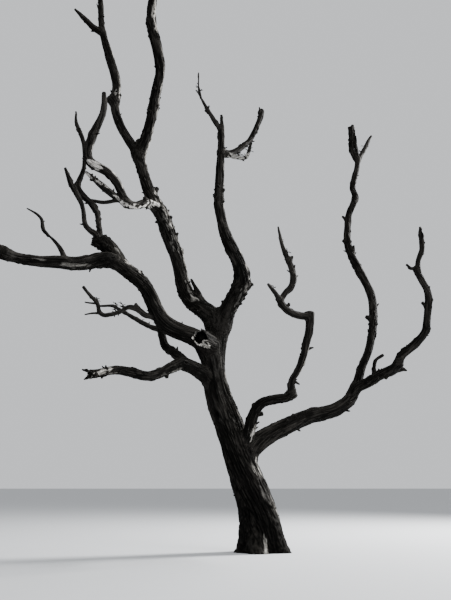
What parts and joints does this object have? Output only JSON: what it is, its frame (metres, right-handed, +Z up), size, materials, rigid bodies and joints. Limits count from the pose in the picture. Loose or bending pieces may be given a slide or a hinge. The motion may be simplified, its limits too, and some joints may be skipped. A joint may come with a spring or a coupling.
{
  "type": "dead tree",
  "caption": "Whole dead tree, bare and weathered: a leaning trunk with root flare, forked leaders, long broken boughs and thin twig sprays.",
  "frame": {"origin": "middle of the flat cut at ground level under the trunk", "axes": "+Z up, +X to the right and +Y away from a viewer who stands in front, with the long arm on the left and the tall upright on the right"},
  "size_m": [9.6338, 5.9568, 14.5108],
  "materials": {
    "bark_wood": "rough weathered dark grey wood and old bark, deeply furrowed",
    "pale_wood": "bleached pale grey bare wood",
    "twig_mass": "thin dry grey twigs"
  },
  "bodies": {
    "root": {"trunk": "bark_wood", "left_leader": "bark_wood", "left_top_outer": "bark_wood", "left_top_spur": "bark_wood", "left_top_inner": "bark_wood", "right_leader": "bark_wood", "right_leader_arm": "bark_wood", "hidden_back_leader": "bark_wood", "pale_branch": "pale_wood", "pale_riser": "pale_wood", "pale_side_branch": "pale_wood", "left_bough": "bark_wood", "left_arm": "bark_wood", "left_arm_end": "bark_wood", "left_arm_whip": "bark_wood", "broken_stump": "bark_wood", "stump_riser_left": "bark_wood", "stump_riser_right": "bark_wood", "broken_stub": "bark_wood", "low_left_bough": "bark_wood", "low_left_riser": "bark_wood", "inner_bough_low": "bark_wood", "inner_bough_mid": "bark_wood", "inner_bough_top": "bark_wood", "right_bough": "bark_wood", "right_upright": "bark_wood", "right_far_bough": "bark_wood", "right_far_upright": "bark_wood", "right_far_tip": "bark_wood", "hidden_back_bough": "bark_wood", "twigs_right_leader": "twig_mass", "twigs_right_arm": "twig_mass", "twigs_left_mid": "twig_mass", "twigs_left_low": "twig_mass", "twigs_inner_left": "twig_mass", "twigs_inner_right": "twig_mass", "twigs_right_top": "twig_mass"}
  },
  "joints": []
}
